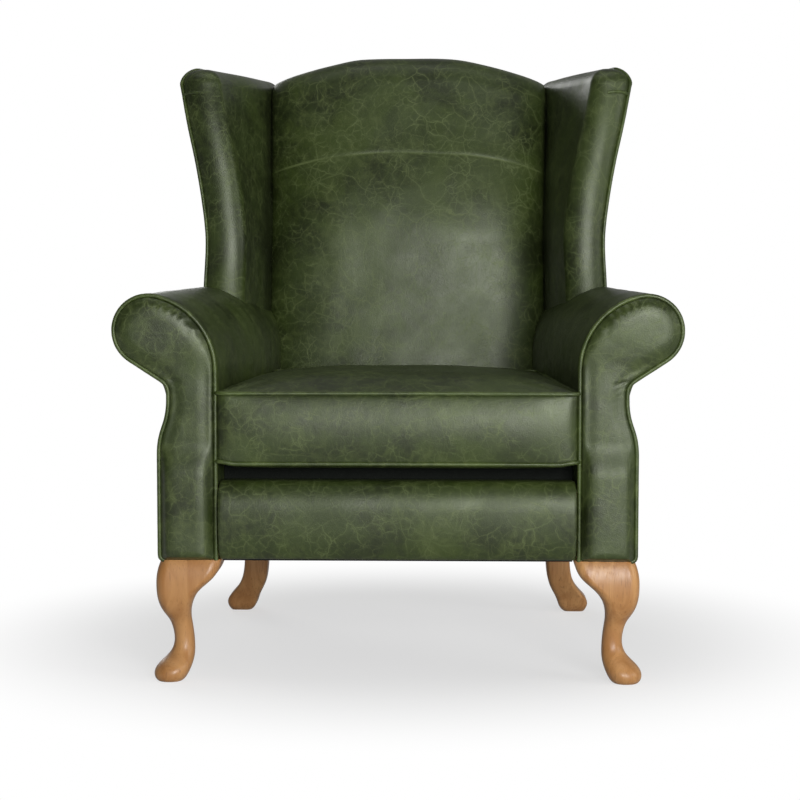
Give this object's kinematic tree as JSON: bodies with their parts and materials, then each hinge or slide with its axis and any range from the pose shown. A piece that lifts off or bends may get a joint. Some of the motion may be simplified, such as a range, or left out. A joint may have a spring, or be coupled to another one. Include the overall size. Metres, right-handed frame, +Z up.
{
  "type": "wing armchair",
  "caption": "High-backed wing armchair in dark green leather, with rolled arms, a loose boxed seat cushion, cabriole front legs and swept rear legs.",
  "frame": {"origin": "on the floor, under the middle of the chair's bounding box", "axes": "+Z up, -Y towards the front of the chair, +X to the viewer's right when facing it"},
  "size_m": [0.8722, 0.8022, 1.0108],
  "materials": {
    "leg_oak": "satin lacquer",
    "frame_timber": "sawn",
    "plywood": "sanded",
    "zinc_hardware": "zinc plated",
    "spring_steel": "oiled",
    "webbing": "woven",
    "dust_cloth": "woven",
    "deck_felt": "felted",
    "foam": "open cell",
    "zip_tape": "woven",
    "zip_metal": "plated",
    "piping_leather": "waxed",
    "green_leather": "waxed, pull-up"
  },
  "bodies": {
    "chair": {"back_cover": "green_leather", "back_padding": "foam", "back_webbing": "webbing", "corner_blocks": "frame_timber", "crest_rail": "frame_timber", "dust_cover": "dust_cloth", "frame_screws": "zinc_hardware", "front_border_cover": "green_leather", "front_border_padding": "foam", "front_seat_rail": "frame_timber", "left_arm_cover": "green_leather", "left_arm_facing": "green_leather", "left_arm_padding": "foam", "left_arm_rail": "frame_timber", "left_back_post": "frame_timber", "left_facing_piping": "piping_leather", "left_front_leg": "leg_oak", "left_front_post": "frame_timber", "left_outside_arm": "green_leather", "left_outside_wing": "green_leather", "left_rear_leg": "leg_oak", "left_scroll_board": "plywood", "left_seat_rail": "frame_timber", "left_wing_board": "plywood", "left_wing_cover": "green_leather", "left_wing_padding": "foam", "left_wing_piping": "piping_leather", "leg_bolts": "zinc_hardware", "leg_nuts": "zinc_hardware", "lower_back_rail": "frame_timber", "outside_back": "green_leather", "rear_seat_rail": "frame_timber", "right_arm_cover": "green_leather", "right_arm_facing": "green_leather", "right_arm_padding": "foam", "right_arm_rail": "frame_timber", "right_back_post": "frame_timber", "right_facing_piping": "piping_leather", "right_front_leg": "leg_oak", "right_front_post": "frame_timber", "right_outside_arm": "green_leather", "right_outside_wing": "green_leather", "right_rear_leg": "leg_oak", "right_scroll_board": "plywood", "right_seat_rail": "frame_timber", "right_wing_board": "plywood", "right_wing_cover": "green_leather", "right_wing_padding": "foam", "right_wing_piping": "piping_leather", "seat_deck": "deck_felt", "seat_springs": "spring_steel", "spring_clips": "zinc_hardware"},
    "seat_cushion": {"cushion_cover": "green_leather", "cushion_core": "foam", "cushion_piping": "piping_leather", "cushion_zip": "zip_tape"},
    "zip": {"zip_slider": "zip_metal"}
  },
  "joints": [
    {"name": "seat_cushion_lift", "type": "slide", "parent": "chair", "child": "seat_cushion", "axis": [0, 0, 1], "range_m": [0, 0.3]},
    {"name": "zip_slide", "type": "slide", "parent": "seat_cushion", "child": "zip", "axis": [-1, 0, 0], "range_m": [0, 0.385]}
  ]
}
